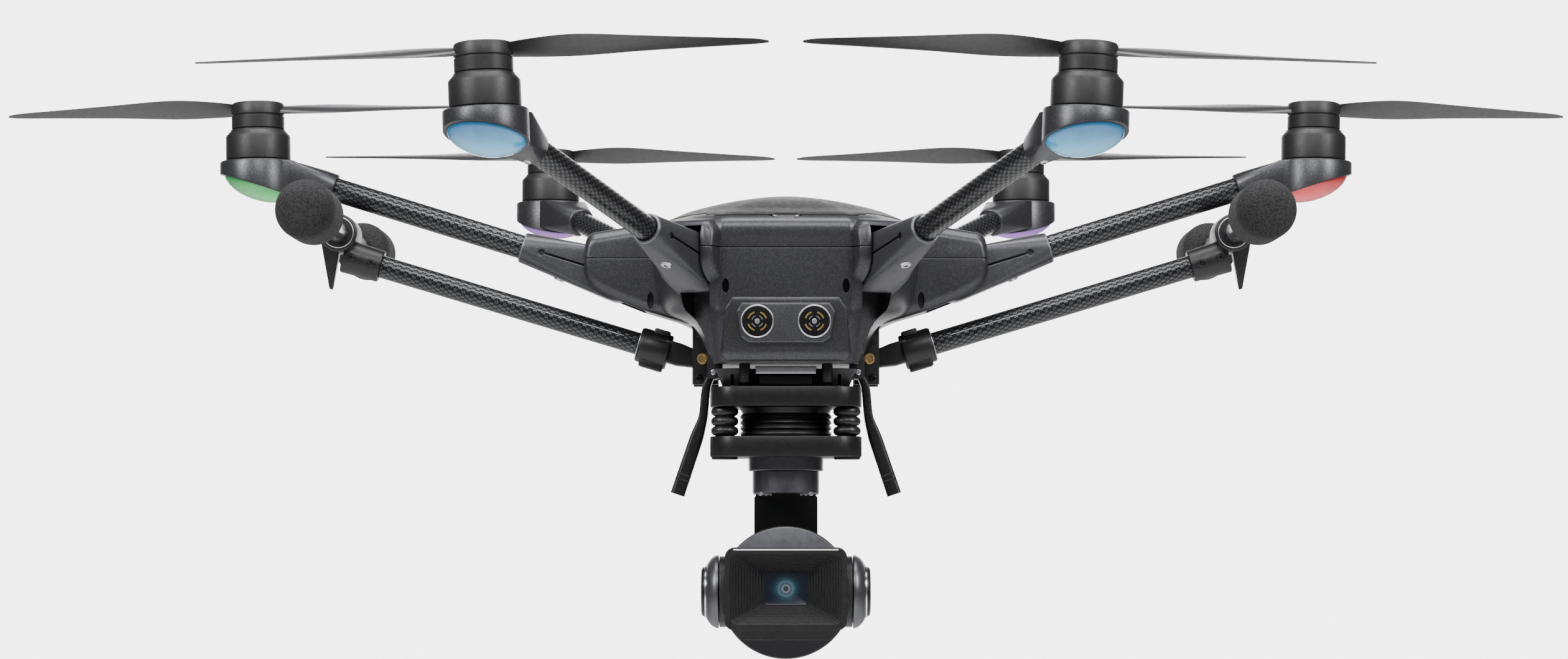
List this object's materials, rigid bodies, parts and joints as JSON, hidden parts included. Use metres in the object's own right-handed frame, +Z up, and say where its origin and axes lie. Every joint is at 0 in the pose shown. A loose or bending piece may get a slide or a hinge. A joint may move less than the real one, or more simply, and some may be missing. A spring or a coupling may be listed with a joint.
{
  "type": "hexacopter camera drone",
  "caption": "Folding multirotor camera drone with spinning propellers, retracting landing gear, a stabilised camera and a slide-out battery.",
  "frame": {"origin": "centre of the six motors, on the flat pad under the belly", "axes": "+Z up, -Y towards the camera side (front), +X to the right seen from the front"},
  "size_m": [0.769, 0.4878, 0.2732],
  "materials": {
    "shell_grey": "dark grey plastic with fine metallic flecks, satin",
    "knuckle_grey": "mid grey fine-grained satin plastic",
    "satin_black": "satin black",
    "carbon_tube": "woven carbon under clear lacquer",
    "gear_black": "satin black nylon",
    "foot_foam": "closed-cell foam over a carbon bar, matt",
    "damper_rubber": "matt silicone rubber",
    "bright_metal": "polished",
    "battery_case": "satin dark grey",
    "board_green": "printed circuit board"
  },
  "bodies": {
    "airframe": {"lower_shell": "shell_grey", "upper_shell": "shell_grey", "sonar_bezel": "satin_black", "chassis_plate": "carbon_tube", "main_board": "board_green", "gear_bracket_r": "gear_black", "gear_bracket_l": "gear_black", "gimbal_plate_top": "satin_black", "damper_fl": "damper_rubber", "damper_fr": "damper_rubber", "damper_rear": "damper_rubber", "bellows": "damper_rubber", "gimbal_plate_bottom": "satin_black", "knuckle_mr": "knuckle_grey", "tube_mr": "carbon_tube", "mount_mr": "shell_grey", "knuckle_ml": "knuckle_grey", "tube_ml": "carbon_tube", "mount_ml": "shell_grey"},
    "arm_fr": {"knuckle_fr": "knuckle_grey", "tube_fr": "carbon_tube", "mount_fr": "shell_grey"},
    "rotor_fr": {"motor_fr": "satin_black", "propeller_fr": "satin_black"},
    "rotor_mr": {"motor_mr": "satin_black", "propeller_mr": "satin_black"},
    "arm_rr": {"knuckle_rr": "knuckle_grey", "tube_rr": "carbon_tube", "mount_rr": "shell_grey"},
    "rotor_rr": {"motor_rr": "satin_black", "propeller_rr": "satin_black"},
    "arm_rl": {"knuckle_rl": "knuckle_grey", "tube_rl": "carbon_tube", "mount_rl": "shell_grey"},
    "rotor_rl": {"motor_rl": "satin_black", "propeller_rl": "satin_black"},
    "rotor_ml": {"motor_ml": "satin_black", "propeller_ml": "satin_black"},
    "arm_fl": {"knuckle_fl": "knuckle_grey", "tube_fl": "carbon_tube", "mount_fl": "shell_grey"},
    "rotor_fl": {"motor_fl": "satin_black", "propeller_fl": "satin_black"},
    "gear_r": {"leg_clamp_r": "gear_black", "leg_tube_r": "carbon_tube", "foot_tee_r": "gear_black", "foot_bar_r": "foot_foam"},
    "gear_l": {"leg_clamp_l": "gear_black", "leg_tube_l": "carbon_tube", "foot_tee_l": "gear_black", "foot_bar_l": "foot_foam"},
    "gimbal_yaw": {"yaw_arm": "satin_black"},
    "gimbal_roll": {"roll_yoke": "satin_black"},
    "camera_head": {"camera": "satin_black"},
    "power_button": {"power_button": "bright_metal"},
    "battery": {"battery": "battery_case"},
    "battery_latch": {"battery_latch": "satin_black"},
    "gimbal_latch": {"gimbal_latch": "bright_metal"},
    "antenna_r": {"antenna_r": "satin_black"},
    "antenna_l": {"antenna_l": "satin_black"}
  },
  "joints": [
    {"name": "fold_fr", "type": "hinge", "parent": "airframe", "child": "arm_fr", "pos_m": [0.041, -0.07101, 0.0465], "axis": [0.866, 0.5, 0], "range_deg": [0, 75]},
    {"name": "spin_fr", "type": "hinge", "parent": "arm_fr", "child": "rotor_fr", "pos_m": [0.13, -0.22517, 0.098], "axis": [0.0436, 0, 0.999], "continuous": true},
    {"name": "spin_mr", "type": "hinge", "parent": "airframe", "child": "rotor_mr", "pos_m": [0.26, 0, 0.098], "axis": [0.0175, 0, 0.9998], "continuous": true},
    {"name": "fold_rr", "type": "hinge", "parent": "airframe", "child": "arm_rr", "pos_m": [0.041, 0.07101, 0.0465], "axis": [-0.866, 0.5, 0], "range_deg": [0, 75]},
    {"name": "spin_rr", "type": "hinge", "parent": "arm_rr", "child": "rotor_rr", "pos_m": [0.13, 0.22517, 0.098], "axis": [0, 0, 1], "continuous": true},
    {"name": "fold_rl", "type": "hinge", "parent": "airframe", "child": "arm_rl", "pos_m": [-0.041, 0.07101, 0.0465], "axis": [-0.866, -0.5, 0], "range_deg": [0, 75]},
    {"name": "spin_rl", "type": "hinge", "parent": "arm_rl", "child": "rotor_rl", "pos_m": [-0.13, 0.22517, 0.098], "axis": [0, 0, 1], "continuous": true},
    {"name": "spin_ml", "type": "hinge", "parent": "airframe", "child": "rotor_ml", "pos_m": [-0.26, 0, 0.098], "axis": [-0.0175, 0, 0.9998], "continuous": true},
    {"name": "fold_fl", "type": "hinge", "parent": "airframe", "child": "arm_fl", "pos_m": [-0.041, -0.07101, 0.0465], "axis": [0.866, -0.5, 0], "range_deg": [0, 75]},
    {"name": "spin_fl", "type": "hinge", "parent": "arm_fl", "child": "rotor_fl", "pos_m": [-0.13, -0.22517, 0.098], "axis": [-0.0436, 0, 0.999], "continuous": true},
    {"name": "gear_lower_r", "type": "hinge", "parent": "airframe", "child": "gear_r", "pos_m": [0.0406, 0, 0.0055], "axis": [0, 1, 0], "range_deg": [0, 82]},
    {"name": "gear_lower_l", "type": "hinge", "parent": "airframe", "child": "gear_l", "pos_m": [-0.0406, 0, 0.0055], "axis": [0, -1, 0], "range_deg": [0, 82]},
    {"name": "gimbal_yaw", "type": "hinge", "parent": "airframe", "child": "gimbal_yaw", "pos_m": [0, -0.045, -0.05], "axis": [0, 0, 1], "continuous": true},
    {"name": "gimbal_roll", "type": "hinge", "parent": "gimbal_yaw", "child": "gimbal_roll", "pos_m": [0, -0.0134, -0.1073], "axis": [0, 1, 0], "range_deg": [-40, 40]},
    {"name": "gimbal_pitch", "type": "hinge", "parent": "gimbal_roll", "child": "camera_head", "pos_m": [0, -0.05, -0.1073], "axis": [1, 0, 0], "range_deg": [-30, 90]},
    {"name": "button_press", "type": "slide", "parent": "airframe", "child": "power_button", "axis": [0, 0.2924, -0.9563], "range_m": [0, 0.0012], "stiffness_N_per_m": 800},
    {"name": "battery_out", "type": "slide", "parent": "airframe", "child": "battery", "axis": [0, 1, 0], "range_m": [0, 0.14]},
    {"name": "battery_latch_press", "type": "slide", "parent": "battery", "child": "battery_latch", "axis": [0, 0, -1], "range_m": [0, 0.0014], "stiffness_N_per_m": 800},
    {"name": "gimbal_latch_press", "type": "slide", "parent": "airframe", "child": "gimbal_latch", "axis": [0, 1, 0], "range_m": [0, 0.003], "stiffness_N_per_m": 800},
    {"name": "antenna_swing_r", "type": "hinge", "parent": "airframe", "child": "antenna_r", "pos_m": [0.0344, -0.04, -0.0026], "axis": [0, -1, 0], "range_deg": [0, 60]},
    {"name": "antenna_swing_l", "type": "hinge", "parent": "airframe", "child": "antenna_l", "pos_m": [-0.0344, -0.04, -0.0026], "axis": [0, 1, 0], "range_deg": [0, 60]}
  ],
  "couplings": [
    {"joint": "gear_lower_l", "follows": "gear_lower_r", "ratio": 1}
  ]
}
